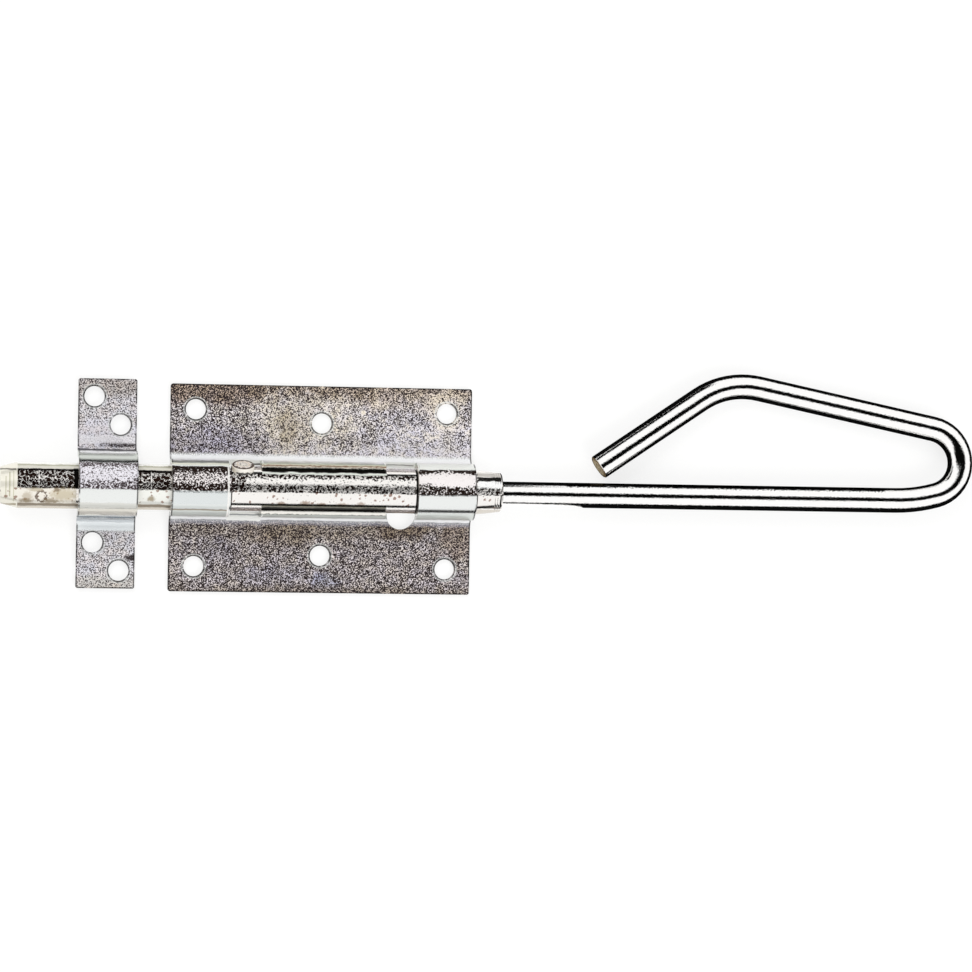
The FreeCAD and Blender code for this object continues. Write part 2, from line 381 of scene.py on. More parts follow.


# Bright zinc plating on pressed sheet: a crystal speckle on the flats and on the far half of each bend,
# smooth metal on the feet and the near half of each bend whose paleness is partly a painted highlight, brown
# and lilac tints of the passivation, painted reflection and shadow strips, and at edges and holes a painted
# highlight ring and a painted shade line
def pressedZinc(name, look):
    material, tree = newMaterial(name)
    place = objectMillimetres(tree)
    axes = addNode(tree, "ShaderNodeSeparateXYZ", {0: place}).outputs
    along, across, height = axes["X"], axes["Y"], axes["Z"]
    rag = grainNoise(tree, place, look["ragMm"], pattern["ragDetail"])
    low, high = look["archFromMm"]
    raised = addNode(tree, "ShaderNodeMapRange", {0: height, 1: low, 2: high}).outputs[0]
    fine = grainNoise(tree, place, look["grainMm"])
    coarse = grainNoise(tree, place, look["archGrainMm"])
    grain = addNode(tree, "ShaderNodeMix", {0: raised, 2: fine, 3: coarse}, data_type="FLOAT").outputs[0]

    # how much of the sheet is speckled, and how dark the speckle is, from the near edge to the far one
    wander = addNode(tree, "ShaderNodeMath", {0: rag, 1: look["borderRagMm"], 2: across},
                     operation="MULTIPLY_ADD").outputs[0]
    span = addNode(tree, "ShaderNodeMapRange", {0: wander, 1: -look["spanMm"], 2: look["spanMm"]}).outputs[0]
    speckled = addNode(tree, "ShaderNodeValToRGB", {0: span}, look["speckledAcross"]).outputs["Color"]
    black = addNode(tree, "ShaderNodeValToRGB", {0: span}, look["blackAcross"]).outputs["Color"]
    level = addNode(tree, "ShaderNodeMath", {0: black, 1: -look["blackReach"], 2: grain},
                    operation="MULTIPLY_ADD").outputs[0]

    tint = addNode(tree, "ShaderNodeMix", {0: rag, 6: hexColour(look["tintCool"]),
                                           7: hexColour(look["tintWarm"])}, data_type="RGBA").outputs[2]
    tint, level = layPatches(tree, tint, level, place, rag, look["patches"], look["hollowRing"])
    low, high = look["stainRange"]
    stain = grainNoise(tree, place, look["stainMm"])
    stain = addNode(tree, "ShaderNodeMapRange", {0: stain, 1: low, 2: high}).outputs[0]
    cast = addNode(tree, "ShaderNodeMix", {0: stain, 6: hexColour(look["castCool"]),
                                           7: hexColour(look["castWarm"])}, data_type="RGBA").outputs[2]
    tint = addNode(tree, "ShaderNodeMix", {0: 1.0, 6: tint, 7: cast}, data_type="RGBA",
                   blend_type="MULTIPLY").outputs[2]
    tint = layColour(tree, tint, raised, look["archLight"])
    dark = addNode(tree, "ShaderNodeMix", {0: raised, 6: hexColour(look["grainDark"]),
                                           7: hexColour(look["archDark"])}, data_type="RGBA").outputs[2]
    tone = addNode(tree, "ShaderNodeMapRange", {0: level, 1: look["grainFrom"],
                                                2: look["grainTo"]}).outputs[0]
    grained = addNode(tree, "ShaderNodeMix", {0: tone, 6: dark, 7: tint}, data_type="RGBA").outputs[2]
    colour = addNode(tree, "ShaderNodeMix", {0: speckled, 6: hexColour(look["smooth"]), 7: grained},
                     data_type="RGBA").outputs[2]

    # bright grains are a little chalky, the dark ones and the smooth metal aren't
    chalk = addNode(tree, "ShaderNodeMapRange", {0: raised, 3: look["grainChalk"],
                                                 4: look["archChalk"]}).outputs[0]
    chalk = addNode(tree, "ShaderNodeMath", {0: chalk, 1: tone}, operation="MULTIPLY").outputs[0]
    shine = addNode(tree, "ShaderNodeMath", {0: 1.0, 1: chalk}, operation="SUBTRACT").outputs[0]
    metallic = addNode(tree, "ShaderNodeMix", {0: speckled, 2: 1.0, 3: shine}, data_type="FLOAT").outputs[0]
    colour, metallic = layStrips(tree, colour, metallic, along, wander, look["strips"])
    colour = layRimHighlightsAndEdgeShade(tree, colour, place, along, across, rag, look)
    colour = layCutFaces(tree, colour, place, across, height, look)

    rounded = addNode(tree, "ShaderNodeBevel", {"Radius": mm(look["edgeMm"])}, samples=look["edgeSamples"])
    slope = addNode(tree, "ShaderNodeMath", {0: speckled, 1: look["smoothBump"]},
                    operation="MAXIMUM").outputs[0]
    bump = addNode(tree, "ShaderNodeBump", {"Height": grain, "Strength": slope, "Normal": rounded.outputs[0],
                                            "Distance": mm(look["grainDepthMm"])}).outputs[0]
    roughness = addNode(tree, "ShaderNodeMapRange", {0: speckled, 3: look["smoothRoughness"],
                                                     4: look["grainRoughness"]}).outputs[0]
    return finishMetal(tree, material, colour, roughness, bump, metallic)


# Ramp stops from places across a span of plus and minus so many millimetres, each with a grey value
def greyStops(spanMm, *pairs):
    return [((place + spanMm) / (2 * spanMm), (value, value, value, 1.0)) for place, value in pairs]


# Ramp stops from places between 0 and 1, each with a colour
def hexStops(*pairs):
    return [(place, hexColour(code)) for place, code in pairs]


sheetSpanMm = 45.0

plateLook = {
    "axisMm": 9.5,
    "archFromMm": (6.0, 9.0),  # heights where the arch's coarser speckle takes over
    "grainMm": 0.46,           # real grains are near 0.1 mm, too fine to show
    "archGrainMm": 0.66,
    "grainDepthMm": 0.4,
    "grainFrom": 0.505,
    "grainTo": 0.56,
    "grainDark": "#3c3334",
    "archDark": "#2f231e",
    "archLight": "#fcf6f5",
    "stainMm": 3.5,            # blue-grey and brown bloom of the passivation
    "stainRange": (0.36, 0.64),
    "castCool": "#fcf9ff",
    "castWarm": "#fff9f0",
    "grainChalk": 0.95,        # bright grains are a little chalky, which lifts them over the dark ones
    "archChalk": 0.75,
    "ragMm": 6.0,
    "borderRagMm": 1.0,
    "spanMm": sheetSpanMm,
    # the feet and the near half of the arch are plain, smooth and pale, the paleness partly a painted
    # highlight
    "speckledAcross": greyStops(sheetSpanMm, (-45, 1), (-12.8, 1), (-11.8, 0), (-1.2, 0), (-0.9, 1),
                                (8.8, 1), (9.1, 0), (12.6, 0), (14.6, 1)),
    "blackAcross": greyStops(sheetSpanMm, (-2, 0), (-1.0, 0.5), (1.9, 0.4), (2.8, 0.0), (5.4, 0.0),
                             (6.4, 0.35), (7.6, 0.9), (8.8, 1.2), (9.1, 0)),
    "blackReach": 0.12,
    "strips": (
        # the far foot and the near foot: painted reflections, pale and chalky
        {"acrossMm": (11.3, 13.8), "softMm": 0.9, "colour": "#fdfeff", "chalk": 0.95},
        {"acrossMm": (-13.6, -11.6), "softMm": 0.7, "colour": "#c9cbdc", "share": 0.35, "chalk": 0.3},
        {"acrossMm": (-11.8, -10.7), "softMm": 0.3, "colour": "#fdfeff", "chalk": 0.95},
        # the sides of the arch, with painted reflections of the studio's grey bands
        {"acrossMm": (9.3, 11.0), "colour": "#c3cabc", "share": 0.7, "chalk": 0.3},
        {"acrossMm": (-10.6, -8.2), "colour": "#cdd3ce", "share": 0.8, "chalk": 0.7},
        # the two guides: painted reflection bands, light and dark, and a painted highlight on the left
        # guide's inner end
        {"acrossMm": (10.5, 11.2), "alongMm": (-61.0, -37.6), "softMm": 0.25, "colour": "#8f918c",
         "share": 0.8},
        {"acrossMm": (9.6, 10.2), "alongMm": (-61.0, -37.6), "softMm": 0.15, "colour": "#dcdccd",
         "chalk": 0.8},
        {"acrossMm": (9.4, 11.6), "alongMm": (37.6, 61.0), "colour": "#eef0ec", "share": 0.9, "chalk": 0.85},
        {"acrossMm": (-7.75, -0.6), "alongMm": (-61.0, -37.6), "softMm": 0.1, "colour": "#dfe4e4",
         "share": 0.8},
        {"acrossMm": (-7.75, -5.8), "alongMm": (-61.0, -37.6), "softMm": 0.15, "colour": "#e0e4e2",
         "chalk": 0.9},
        {"acrossMm": (-8.4, -7.8), "alongMm": (-61.0, -37.6), "softMm": 0.15, "colour": "#9d9486",
         "chalk": 0.6},
        {"acrossMm": (-11.0, 9.0), "alongMm": (-38.3, -37.6), "softMm": 0.1, "colour": "#f4f2ee",
         "chalk": 0.6},
        # the notches, whitened by a painted highlight, then painted shadows: the dark lines that their floors
        # and the far wall throw
        {"acrossMm": (8.4, 11.8), "alongMm": (-37.4, -24.0), "colour": "#f1f2ee", "chalk": 1.0},
        {"acrossMm": (8.4, 11.8), "alongMm": (24.0, 37.4), "colour": "#f1f2ee", "chalk": 1.0},
        {"acrossMm": (-12.2, -8.4), "alongMm": (-37.4, -24.0), "colour": "#fbfcf8", "chalk": 1.0},
        {"acrossMm": (9.9, 10.6), "alongMm": (-27.6, -24.3), "softMm": 0.3, "colour": "#26221c",
         "share": 0.9},
        {"acrossMm": (10.5, 10.9), "alongMm": (24.3, 36.6), "softMm": 0.15, "colour": "#4a443c",
         "share": 0.8},
        {"acrossMm": (-10.0, -9.5), "alongMm": (-37.0, -24.3), "softMm": 0.2, "colour": "#4c5660",
         "share": 0.7},
    ),
    # screw holes: X, Y and radius
    "holes": ((-50, 31, 4), (50, 31, 4), (-50, -31, 4), (50, -31, 4), (0, 26.25, 4), (0, -26.25, 4)),
    "outline": {"alongMm": (-60.0, 60.0), "acrossMm": (-41.0, 41.0)},
    # rims and outline: a painted highlight ring round each hole and a painted dark shade line at the rims and
    # edges
    "rimMm": 0.75,
    "rimHighlightMm": (0.3, 1.0, 0.2),    # from, to and softness
    "rimHighlightShare": 0.6,
    "edgeLineMm": 0.7,
    "edgeShade": "#1d1816",
    "edgeLineShare": 0.85,
    "brokenRange": (0.38, 0.5),
    "edgeMm": 0.35,            # how far the cut edges look rounded
    "edgeSamples": 6,
    "tintCool": "#f6f4fa",
    "tintWarm": "#fcf7f0",
    "smooth": "#eef0ee",
    # the cut faces of the slot, from the inside of the sheet to its outside
    "cutLean": (0.3, 0.6),
    "cutAboveMm": (4.7, 5.1),
    "cutSpanMm": (8.0, 12.0),
    "farSideMm": (-1.0, 1.0),
    "veinsPerMm": 0.7,
    "veinReachMm": 1.2,
    "cutFarStops": hexStops((0.30, "#f6efe2"), (0.40, "#e8dccb"), (0.44, "#7d5f4a"), (0.50, "#907460"),
                            (0.56, "#cfcdb8"), (0.75, "#aab2a4")),
    # the near cut faces' paleness is a painted highlight
    "cutNearStops": hexStops((0.40, "#fbf8f2"), (0.58, "#f4f2ea"), (0.62, "#4a4640"), (0.68, "#b9bfba")),
    "smoothBump": 0.03,
    "smoothRoughness": 0.17,
    "grainRoughness": 0.34,
    "hollowRing": (0.42, 0.58, 0.08),    # a hollow patch shows as a tide line
    "patches": (
        {"centreMm": (-45, 39), "halfMm": (34, 6), "colour": "#c8b098", "share": 0.8, "lift": -0.02},
        {"centreMm": (12, 40), "halfMm": (60, 5), "colour": "#d2bfa6", "share": 0.8, "lift": -0.01},
        {"centreMm": (24, 14), "halfMm": (50, 4), "colour": "#f6f4f8", "share": 0.6, "lift": 0.06},
        {"centreMm": (-42, 18), "halfMm": (22, 6), "colour": "#cdcbe2", "share": 0.6, "lift": 0.01},
        {"centreMm": (46, 19), "halfMm": (18, 7), "colour": "#f4f4fc", "share": 0.6, "lift": 0.04},
        {"centreMm": (0, -32), "halfMm": (90, 20), "colour": "#e4dcdc", "share": 0.7, "lift": -0.01},
        {"centreMm": (-12, 27), "halfMm": (15, 14), "colour": "#e2dcd0", "share": 0.7, "lift": 0.04},
        {"centreMm": (-14, 24), "halfMm": (5, 7), "colour": "#c8bb9c", "share": 0.6},
        {"centreMm": (7, 28), "halfMm": (9, 9), "colour": "#f2ecde", "share": 0.7, "lift": 0.05},
        {"centreMm": (24, 36), "halfMm": (8, 5), "colour": "#c2a98c", "share": 0.6},
        {"centreMm": (38, 26), "halfMm": (26, 12), "colour": "#ececf6", "share": 0.6, "lift": 0.02},
        {"centreMm": (34, 36), "halfMm": (18, 5), "colour": "#efe4d6", "share": 0.5, "lift": 0.015},
        {"centreMm": (50, 31), "halfMm": (7, 10), "colour": "#f2ead8", "share": 0.6, "lift": 0.05},
        {"centreMm": (0, -16), "halfMm": (60, 4), "colour": "#b5a387", "share": 0.5},
        {"centreMm": (-14, -18), "halfMm": (12, 5), "colour": "#b3a080", "share": 0.5},
        {"centreMm": (33, -15), "halfMm": (10, 5), "colour": "#a08a68", "share": 0.6},
        {"centreMm": (54, -18), "halfMm": (8, 9), "colour": "#b8a28a", "share": 0.6},
        {"centreMm": (-42, -24), "halfMm": (8, 5), "colour": "#b8b8cc", "share": 0.4},
        {"centreMm": (-18, -34), "halfMm": (16, 4), "colour": "#b6bad0", "share": 0.4, "lift": 0.01},
        {"centreMm": (2, -37), "halfMm": (6, 4), "colour": "#b4bfe0", "share": 0.6, "lift": 0.01},
        {"centreMm": (0, -41), "halfMm": (62, 3), "colour": "#a79a84", "share": 0.6},
        {"centreMm": (-10, 30), "halfMm": (14, 13), "colour": "#f5f1ea", "share": 0.6, "lift": 0.05,
         "hollow": True},
        {"centreMm": (46, 36), "halfMm": (26, 14), "colour": "#fbf5ea", "share": 0.6, "lift": 0.05,
         "hollow": True},
        {"centreMm": (16.5, 30.9), "halfMm": (1.1, 0.9), "colour": "#f6efdc", "lift": 0.12},
        # lighter speckle along the middle of each guide: a painted reflection band
        {"centreMm": (49, 4.7), "halfMm": (14, 2.6), "lift": 0.3},
        {"centreMm": (-49, 4.0), "halfMm": (14, 2.2), "lift": 0.05},
    ),
}
keeperLook = dict(plateLook, **{
    "grainDark": "#4c4446",
    "archDark": "#54484a",
    "archLight": "#f4f1f8",
    "grainFrom": 0.42,
    "grainTo": 0.53,
    "grainMm": 0.52,
    "grainChalk": 0.8,
    "castCool": "#f8fcff",
    "castWarm": "#fffdfa",
    "archGrainMm": 0.6,
    "tintCool": "#f2eefa",
    "tintWarm": "#faf4f0",
    # as on the plate, the plain bands are smooth and pale, partly a painted highlight
    "speckledAcross": greyStops(sheetSpanMm, (-45, 1), (-18, 1), (-15.5, 0), (-0.7, 0), (-0.5, 1),
                                (9.6, 1), (9.9, 0), (13.8, 0), (14.8, 1)),
    "blackAcross": greyStops(sheetSpanMm, (-1, 0), (-0.5, 0.55), (1.8, 0.5), (2.8, 0.1), (3.8, 0.0),
                             (8.0, 0.0), (8.8, 0.5), (9.6, 1.0), (9.9, 0)),
    "strips": (
        # painted reflection bands, light and dark, on the far side and foot of the strap's arch, then on the
        # near ones
        {"acrossMm": (10.6, 13.3), "colour": "#bcc2ba", "share": 0.7, "chalk": 0.3},
        {"acrossMm": (13.5, 14.2), "colour": "#f4f6f6", "chalk": 0.7},
        {"acrossMm": (14.4, 15.2), "softMm": 0.15, "colour": "#33353b", "share": 0.9},
        {"acrossMm": (17.4, 20.4), "softMm": 0.5, "colour": "#fdfbff", "share": 0.6, "chalk": 0.6},
        {"acrossMm": (-7.9, -5.9), "softMm": 0.15, "colour": "#dcdcd6", "chalk": 0.9},
        {"acrossMm": (-10.9, -8.0), "softMm": 0.5, "colour": "#d8d2c4", "share": 0.7, "chalk": 0.5},
        {"acrossMm": (-11.9, -11.2), "colour": "#6c7684", "share": 0.8},
        {"acrossMm": (-13.0, -12.2), "colour": "#d3dae0", "share": 0.8, "chalk": 0.7},
        {"acrossMm": (-13.5, -13.1), "colour": "#a4adb8", "share": 0.8, "chalk": 0.5},
        {"acrossMm": (-17.0, -13.6), "softMm": 0.5, "colour": "#f5fafc", "chalk": 0.95},
    ),
    "holes": ((-89.9, 35.35, 4), (-89.9, -22.15, 4), (-79.5, 24.35, 4), (-79.5, -33.15, 4)),
    "outline": {"alongMm": (-96.2, -73.2), "acrossMm": (-40.15, 42.35)},
    "patches": (
        {"centreMm": (-79, 16.4), "halfMm": (8, 1.1), "colour": "#221c1c", "share": 0.9, "lift": -0.12},
        {"centreMm": (-85, 5), "halfMm": (18, 2.6), "lift": 0.05},
        {"centreMm": (-85, 20), "halfMm": (16, 6), "colour": "#f0ecf6", "share": 0.6, "lift": 0.06},
        {"centreMm": (-85, 39), "halfMm": (16, 4.0), "colour": "#c9bcae", "share": 0.6, "lift": -0.02},
        {"centreMm": (-85, -39), "halfMm": (16, 4.0), "colour": "#d8d0c0", "share": 0.6, "lift": 0.02},
        {"centreMm": (-74, -28), "halfMm": (3, 1.2), "colour": "#241e1e", "share": 0.9, "lift": -0.12},
    ),
})


# Lays rust specks over a colour: shaken cells, each with a speck of its own size in it
def layRust(tree, colour, place, across, grain, look):
    shake = (look["speckShakeMm"],) * 3
    shaken = addNode(tree, "ShaderNodeVectorMath", {0: grain, 1: shake, 2: place},
                     operation="MULTIPLY_ADD").outputs[0]
    cell = addNode(tree, "ShaderNodeTexVoronoi", {"Vector": shaken,
                                                  "Scale": 1 / look["speckEveryMm"]}).outputs
    size = addNode(tree, "ShaderNodeSeparateColor", {0: cell["Color"]}).outputs[0]
    reach = addNode(tree, "ShaderNodeMath", {0: size, 1: look["speckReach"]}, operation="MULTIPLY").outputs[0]
    inside = addNode(tree, "ShaderNodeMath", {0: reach, 1: cell["Distance"]}, operation="SUBTRACT").outputs[0]
    rust = addNode(tree, "ShaderNodeMapRange", {0: inside, 1: 0.0, 2: look["speckSoft"]}).outputs[0]
    bare = between(tree, across, *look["rustAcrossMm"], look["rustSoftMm"])
    rust = addNode(tree, "ShaderNodeMath", {0: rust, 1: bare}, operation="MULTIPLY").outputs[0]
    return layColour(tree, colour, rust, look["rust"], look["rustShare"])


# Zinc on a turned bar: bright on the near half, a coarse black and white speckle on the far half that
# thickens to a burnt black skin towards the tip, with a painted reflection in its middle band, rust specks,
# painted reflection, highlight and shadow bands at the window's edges, on the taper and along the bar, and
# turning marks at both ends
def turnedZinc(name, look):
    material, tree = newMaterial(name)
    place = objectMillimetres(tree)
    axes = addNode(tree, "ShaderNodeSeparateXYZ", {0: place}).outputs
    along, across = axes["X"], axes["Y"]
    rag = grainNoise(tree, place, look["ragMm"], pattern["ragDetail"])
    grain = grainNoise(tree, place, look["grainMm"], pattern["ragDetail"])

    wander = addNode(tree, "ShaderNodeMath", {0: rag, 1: look["farRagMm"], 2: across},
                     operation="MULTIPLY_ADD").outputs[0]
    span = addNode(tree, "ShaderNodeMapRange", {0: wander, 1: -look["spanMm"], 2: look["spanMm"]}).outputs[0]
    reach = addNode(tree, "ShaderNodeMapRange", {0: along, 1: -look["reachMm"],
                                                 2: look["reachMm"]}).outputs[0]
    girth = addNode(tree, "ShaderNodeValToRGB", {0: span}, look["blackAcross"]).outputs["Color"]
    length = addNode(tree, "ShaderNodeValToRGB", {0: reach}, look["blackAlong"]).outputs["Color"]
    black = addNode(tree, "ShaderNodeMath", {0: girth, 1: length}, operation="MULTIPLY").outputs[0]
    level = addNode(tree, "ShaderNodeMath", {0: black, 1: -look["blackReach"], 2: grain},
                    operation="MULTIPLY_ADD").outputs[0]
    tone = addNode(tree, "ShaderNodeMapRange", {0: level, 1: look["grainFrom"],
                                                2: look["grainTo"]}).outputs[0]

    # bright squiggles in the burnt skin: thin lines where a noise crosses its middle
    width = look["squiggleWidth"]
    squiggle = grainNoise(tree, place, look["squiggleMm"])
    squiggle = addNode(tree, "ShaderNodeMath", {0: squiggle, 1: pattern["noiseMiddle"]},
                       operation="SUBTRACT").outputs[0]
    squiggle = addNode(tree, "ShaderNodeMath", {0: squiggle}, operation="ABSOLUTE").outputs[0]
    squiggle = addNode(tree, "ShaderNodeMapRange", {0: squiggle, 1: width, 2: width / 2}).outputs[0]
    for strip in look["squiggled"]:
        mask = stripMask(tree, along, wander, strip)
        tone = addNode(tree, "ShaderNodeMix", {0: mask, 2: tone, 3: squiggle}, data_type="FLOAT").outputs[0]

    colour = addNode(tree, "ShaderNodeMix", {0: tone, 6: hexColour(look["burnt"]),
                                             7: hexColour(look["bright"])}, data_type="RGBA").outputs[2]
    colour, metallic = layStrips(tree, colour, look["metallic"], along, wander, look["strips"])
    colour = layRust(tree, colour, place, across, grain, look)
    colour = layPatches(tree, colour, level, place, grain, look["marks"], look["hollowRing"])[0]

    slope = addNode(tree, "ShaderNodeMath", {0: black, 1: look["smoothBump"]}, operation="MAXIMUM").outputs[0]
    bump = addNode(tree, "ShaderNodeBump", {"Height": grain, "Strength": slope,
                                            "Distance": mm(look["grainDepthMm"])}).outputs[0]
    return finishMetal(tree, material, colour, look["roughness"], bump, metallic)


barSpanMm = 9.0
barReachMm = 130.0

boltLook = {
    "spanMm": barSpanMm,
    "reachMm": barReachMm,
    "grainMm": 0.9,
    "grainDepthMm": 0.45,
    "grainFrom": 0.28,
    "grainTo": 0.32,
    "ragMm": 4.0,
    "farRagMm": 1.0,
    # shares of black across the bar, from the near side to the far side, and along it from the tip; the black
    # band along the middle is partly the bar's own speckle and partly a painted reflection
    "blackAcross": greyStops(barSpanMm, (-9, 0), (-1.0, 0), (-0.7, 0.85), (1.8, 0.85), (2.3, 0.3),
                             (4.1, 0.35), (4.8, 0.7), (5.2, 1), (6.2, 1), (6.4, 0)),
    "blackAlong": greyStops(barReachMm, (-130, 0), (-120.2, 0.2), (-119.8, 1), (-38, 0.95), (-18, 0.85),
                            (10, 0.78), (70, 0.78)),
    "blackReach": 0.28,
    "squiggleMm": 1.7,
    "squiggleWidth": 0.04,
    "squiggled": (
        {"alongMm": (-119.8, -60.0), "acrossMm": (-0.5, 7.0)},
        {"alongMm": (-36.9, -31.0), "acrossMm": (-0.3, 6.6)},
    ),
    "strips": (
        # between the plate's walls: painted reflections of the walls in the bright bar, and the dark gaps
        # beside them as painted shadow
        {"alongMm": (-24.6, 24.6), "acrossMm": (6.4, 7.1), "softMm": 0.15, "colour": "#dee4db", "chalk": 1.0},
        {"alongMm": (-24.6, 24.6), "acrossMm": (7.2, 9.6), "colour": "#0a0d09"},
        {"alongMm": (-24.6, 24.6), "acrossMm": (-6.6, -5.4), "softMm": 0.3, "colour": "#6f6c58",
         "share": 0.85},
        {"alongMm": (-24.6, 24.6), "acrossMm": (-9.2, -6.5), "softMm": 0.3, "colour": "#0d0f08",
         "share": 0.95},
        # the taper, with painted reflection bands, light and dark, and the lines at its two ends
        {"alongMm": (60.8, 70.4), "acrossMm": (1.9, 4.9), "colour": "#ffffff", "share": 0.9},
        {"alongMm": (60.8, 70.4), "acrossMm": (4.9, 6.4), "colour": "#0d0a09", "share": 0.95},
        {"alongMm": (60.8, 70.4), "acrossMm": (6.5, 8.3), "colour": "#dfdad4", "share": 0.9, "chalk": 0.8},
        {"alongMm": (60.8, 70.4), "acrossMm": (-5.9, -5.1), "colour": "#4a423a", "share": 0.8},
        {"alongMm": (60.8, 70.4), "acrossMm": (-8.0, -6.3), "colour": "#d3ccc1", "share": 0.9, "chalk": 0.8},
        {"alongMm": (60.0, 60.7), "acrossMm": (-7.4, -0.7), "softMm": 0.1, "colour": "#1d1816"},
        {"alongMm": (69.9, 70.4), "acrossMm": (-5.5, -0.7), "softMm": 0.1, "colour": "#1d1816"},
        # the length outside the plate: painted reflection bands, painted highlights at both edges, and a near
        # half whose cream is partly yellowed zinc and partly painted reflection
        {"alongMm": (-119.8, -60.0), "acrossMm": (7.0, 8.7), "colour": "#d2cfc2", "share": 0.85,
         "chalk": 0.7},
        {"alongMm": (-119.8, -60.0), "acrossMm": (8.1, 8.7), "softMm": 0.15, "colour": "#a8a790",
         "share": 0.8},
        {"alongMm": (-119.8, -60.0), "acrossMm": (8.9, 9.9), "softMm": 0.1, "colour": "#fffffa",
         "chalk": 1.0},
        {"alongMm": (-119.8, -97.0), "acrossMm": (-6.4, -0.6), "colour": "#ece6da", "share": 0.85,
         "chalk": 0.85},
        {"alongMm": (-73.0, -60.0), "acrossMm": (-6.4, -0.6), "colour": "#eeefe8", "share": 0.85,
         "chalk": 0.8},
        {"alongMm": (-119.8, -60.0), "acrossMm": (-7.6, -6.3), "softMm": 0.3, "colour": "#6f5f44",
         "share": 0.9, "chalk": 0.7},
        {"alongMm": (-119.8, -60.0), "acrossMm": (-9.4, -7.6), "colour": "#cfc4b2", "share": 0.9,
         "chalk": 0.8},
        {"alongMm": (-73.0, -60.0), "acrossMm": (6.0, 6.9), "softMm": 0.2, "colour": "#231914",
         "share": 0.95},
        # the tip's chamfer and its turning rings
        {"alongMm": (-131.0, -119.8), "acrossMm": (-9.4, 9.4), "colour": "#eeeadb", "share": 0.85,
         "chalk": 0.8},
        {"alongMm": (-131.0, -120.2), "acrossMm": (6.3, 7.0), "colour": "#3a3226", "share": 0.8},
        {"alongMm": (-131.0, -120.2), "acrossMm": (-7.4, -6.6), "colour": "#8a7c5c", "share": 0.8},
        {"alongMm": (-123.0, -122.5), "acrossMm": (-4.0, 5.5), "softMm": 0.1, "colour": "#a9a682",
         "share": 0.7},
        {"alongMm": (-124.4, -124.0), "acrossMm": (-5.0, 4.0), "softMm": 0.1, "colour": "#a9a682",
         "share": 0.6},
        {"alongMm": (-121.4, -121.1), "acrossMm": (-6.0, 6.0), "softMm": 0.1, "colour": "#b9b594",
         "share": 0.7},
        # pale rings that the keeper rubbed, and painted shadow rings beside the keeper and at the guides'
        # ends
        {"alongMm": (-111.7, -111.3), "acrossMm": (-0.6, 6.8), "softMm": 0.08, "colour": "#f6f3f0"},
        {"alongMm": (-98.0, -96.2), "acrossMm": (-0.6, 7.4), "softMm": 0.3, "colour": "#0e0c0b"},
        {"alongMm": (-68.2, -67.8), "acrossMm": (-0.6, 6.8), "softMm": 0.08, "colour": "#f6f3f0"},
        {"alongMm": (-36.9, -36.4), "acrossMm": (-9.0, 9.0), "softMm": 0.15, "colour": "#3a302c"},
        {"alongMm": (36.2, 37.0), "acrossMm": (-9.0, 9.0), "softMm": 0.15, "colour": "#151210"},
    ),
    "hollowRing": (0.3, 0.8, 0.1),    # a hollow mark shows as a corroded ring
    "marks": (
        {"centreMm": (-110.4, -4.3), "halfMm": (2.2, 2.2), "colour": "#5d4836", "share": 0.9, "hollow": True},
        {"centreMm": (-109.0, -5.2), "halfMm": (0.6, 0.6), "colour": "#4d382a", "share": 0.9},
        {"centreMm": (-113.0, -1.6), "halfMm": (3.0, 0.8), "colour": "#b8ab90", "share": 0.7},
        {"centreMm": (-102.0, -3.5), "halfMm": (5.0, 2.6), "colour": "#b5a680", "share": 0.6},
        {"centreMm": (-116.0, -4.5), "halfMm": (2.0, 2.0), "colour": "#a39070", "share": 0.5},
        {"centreMm": (-104.5, -1.6), "halfMm": (1.2, 0.8), "colour": "#7d6a50", "share": 0.8},
        {"centreMm": (-107.0, -6.0), "halfMm": (3.0, 1.0), "colour": "#8a7656", "share": 0.7},
        {"centreMm": (-116.5, -6.0), "halfMm": (2.6, 0.9), "colour": "#8a7656", "share": 0.7},
        {"centreMm": (-68.0, -4.6), "halfMm": (1.6, 1.0), "colour": "#8d7a58", "share": 0.8},
        {"centreMm": (-17.0, -5.7), "halfMm": (1.6, 0.8), "colour": "#8a6a4c", "share": 0.7},
        {"centreMm": (-7.5, -5.5), "halfMm": (2.0, 1.0), "colour": "#8f6e50", "share": 0.7},
        {"centreMm": (-1.0, -5.8), "halfMm": (1.8, 0.7), "colour": "#8a6a4c", "share": 0.7},
        {"centreMm": (7.0, -5.8), "halfMm": (2.4, 0.7), "colour": "#94785a", "share": 0.6},
        {"centreMm": (14.5, -5.5), "halfMm": (1.6, 0.8), "colour": "#8a6a4c", "share": 0.6},
    ),
    "burnt": "#261a15",
    "bright": "#f8f5f1",
    "speckEveryMm": 1.9,
    "speckReach": 0.40,
    "speckShakeMm": 1.4,
    "speckSoft": 0.06,
    "rust": "#7f5138",
    "rustAcrossMm": (-6.3, -1.0),
    "rustSoftMm": 0.3,
    "rustShare": 0.75,
    "smoothBump": 0.03,
    "metallic": 1.0,
    "roughness": 0.14,
}
